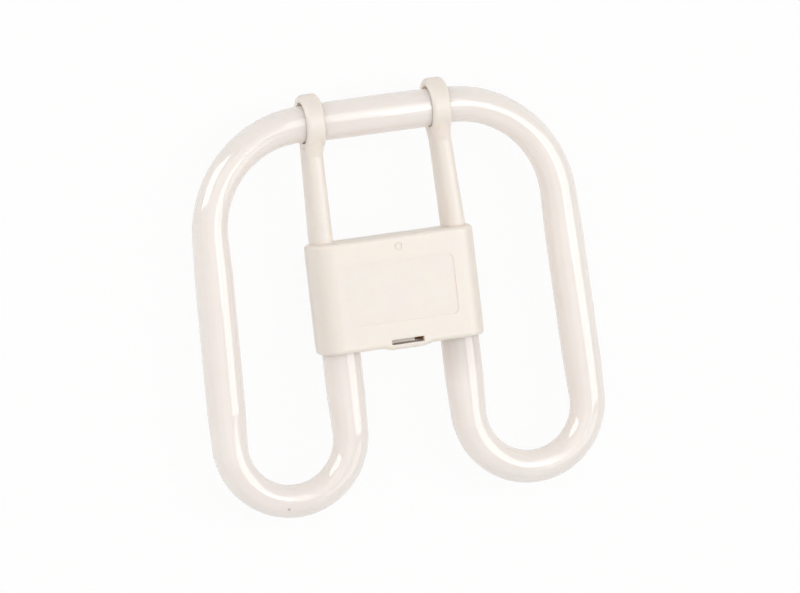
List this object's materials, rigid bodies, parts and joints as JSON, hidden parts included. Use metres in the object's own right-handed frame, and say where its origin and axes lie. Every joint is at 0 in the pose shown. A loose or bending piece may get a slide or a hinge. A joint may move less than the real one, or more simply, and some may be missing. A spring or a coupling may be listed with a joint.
{
  "type": "square compact fluorescent lamp",
  "caption": "Square compact fluorescent lamp: one flat bent glass tube held by a moulded housing with a pin recess at the back and arms that clip round the tube.",
  "frame": {"origin": "on the rim of the socket collar, under the middle of the lamp's outline", "axes": "+Z is the way the label face looks, +Y runs from the hairpin bends to the clip rings, +X is to the right seen from the label face"},
  "size_m": [0.138, 0.14, 0.0275],
  "materials": {
    "phosphor_glass": "clear glass over a white phosphor coat, opaque",
    "shell_plastic": "cream moulded plastic, satin",
    "pin_brass": "turned",
    "starter_glass": "clear",
    "capacitor_resin": "dipped resin",
    "lead_wire": "nickel plated",
    "crimp_metal": "tinned",
    "sleeve_fibre": "woven glass fibre",
    "silicone_cement": "cured paste"
  },
  "bodies": {
    "root": {"capacitor": "capacitor_resin", "capacitor_wire_left": "lead_wire", "capacitor_wire_right": "lead_wire", "cement_left": "silicone_cement", "cement_right": "silicone_cement", "crimp_left": "crimp_metal", "crimp_right": "crimp_metal", "discharge_tube": "phosphor_glass", "front_shell": "shell_plastic", "lead_pin_left": "lead_wire", "lead_pin_right": "lead_wire", "lead_switch_left": "lead_wire", "lead_switch_right": "lead_wire", "pin_left": "pin_brass", "pin_right": "pin_brass", "rear_shell": "shell_plastic", "sleeve_left": "sleeve_fibre", "sleeve_right": "sleeve_fibre", "starter_bulb": "starter_glass", "switch_wire_left": "lead_wire", "switch_wire_right": "lead_wire"}
  },
  "joints": []
}
